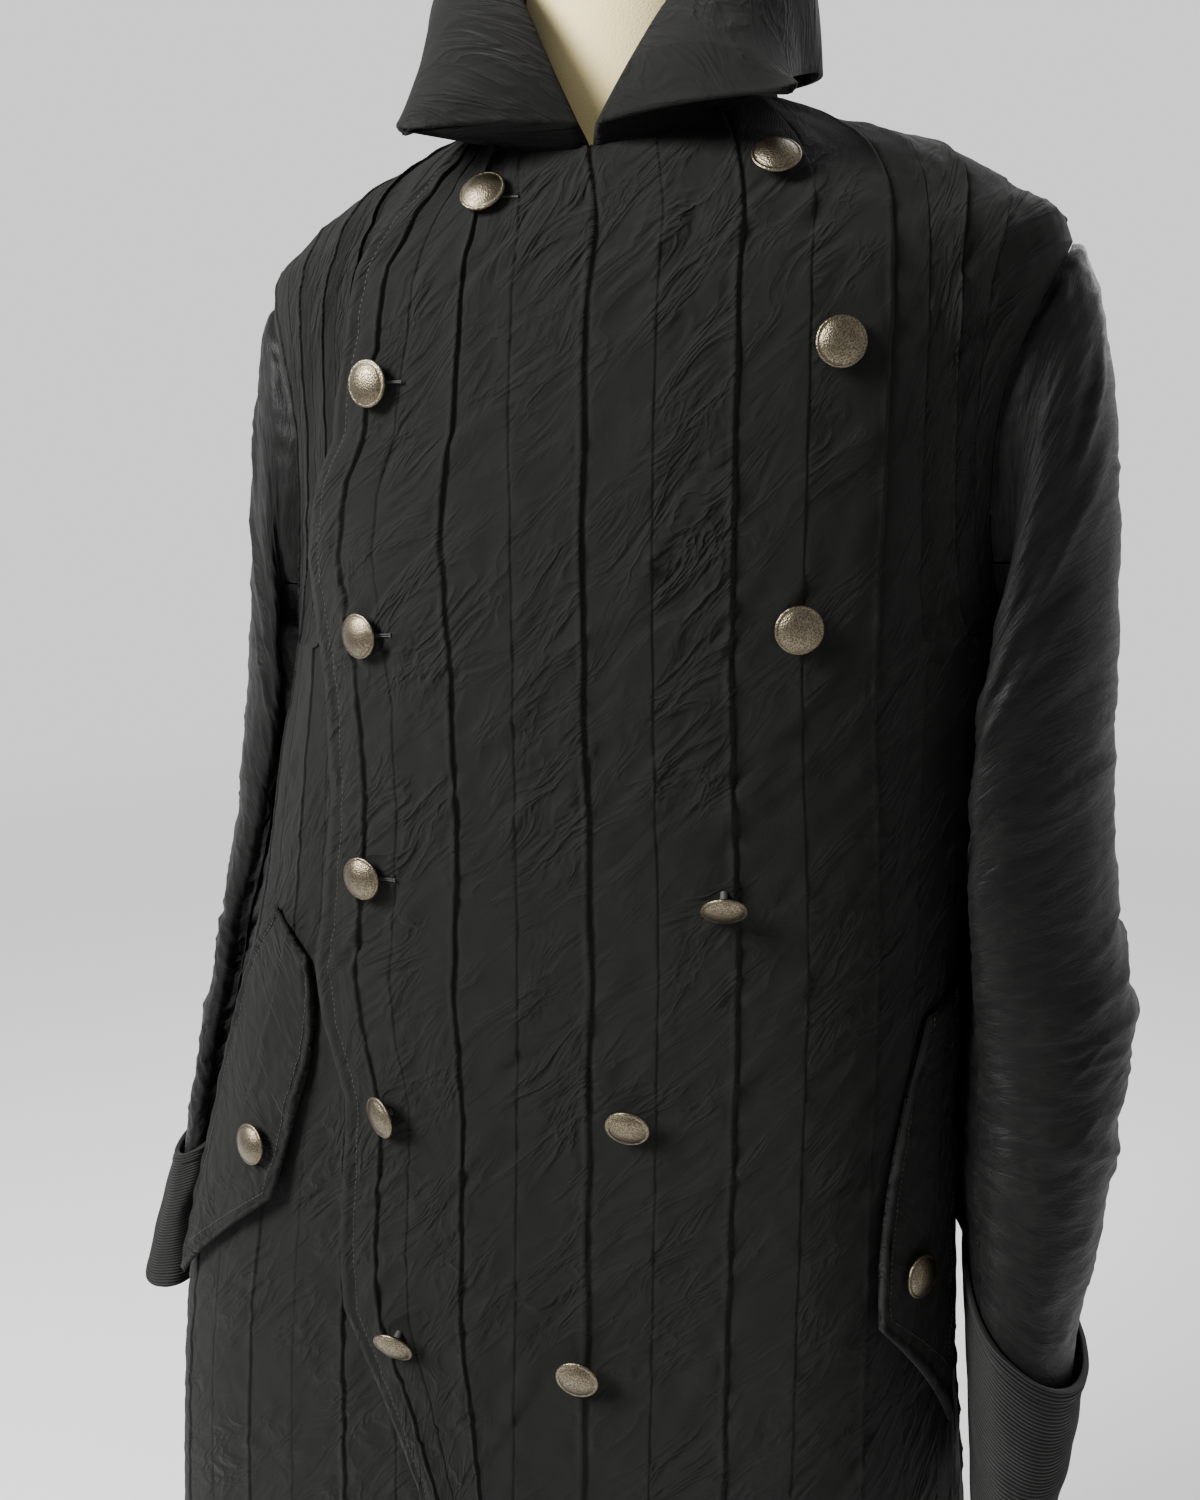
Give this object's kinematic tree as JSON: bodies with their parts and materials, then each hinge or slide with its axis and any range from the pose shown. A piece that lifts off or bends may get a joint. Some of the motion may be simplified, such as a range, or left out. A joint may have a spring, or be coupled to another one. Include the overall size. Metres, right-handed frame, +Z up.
{
  "type": "double-breasted coat on a dress form",
  "caption": "Long double-breasted coat with turned-up collar, set-in sleeves, wide ribbed cuffs and slanted pocket flaps, on a limbless padded dress form with pole and round foot.",
  "frame": {"origin": "middle of the underside of the dress form's round foot, on the floor", "axes": "+Z up; the coat's front looks along -Y; +X is the wearer's left"},
  "size_m": [0.6616, 0.38, 1.6227],
  "materials": {
    "coat_cloth": "charcoal-black wool and crepe in narrow tucked strips, matt",
    "sleeve_cloth": "thin black satin-like cloth, softly lustrous, crinkled",
    "cuff_cloth": "black cross-ribbed cloth",
    "button_metal": "dark antiqued brass, finely stippled",
    "form_cover": "cream cotton cover",
    "stand_metal": "dark enamelled steel"
  },
  "bodies": {
    "root": {"front_left": "coat_cloth", "front_right": "coat_cloth", "back": "coat_cloth", "collar": "coat_cloth", "pocket_flap_left": "coat_cloth", "pocket_flap_right": "coat_cloth", "sleeve_left_top": "sleeve_cloth", "sleeve_left_under": "sleeve_cloth", "sleeve_right_top": "sleeve_cloth", "sleeve_right_under": "sleeve_cloth", "cuff_left": "cuff_cloth", "cuff_right": "cuff_cloth", "button_l1": "button_metal", "button_l2": "button_metal", "button_l3": "button_metal", "button_l4": "button_metal", "button_l5": "button_metal", "button_l6": "button_metal", "button_r1": "button_metal", "button_r2": "button_metal", "button_r3": "button_metal", "button_r4": "button_metal", "button_r5": "button_metal", "button_r6": "button_metal", "button_flap_l": "button_metal", "button_flap_r": "button_metal", "form_bust": "form_cover", "form_cap": "stand_metal", "form_pole": "stand_metal", "form_base": "stand_metal"}
  },
  "joints": []
}
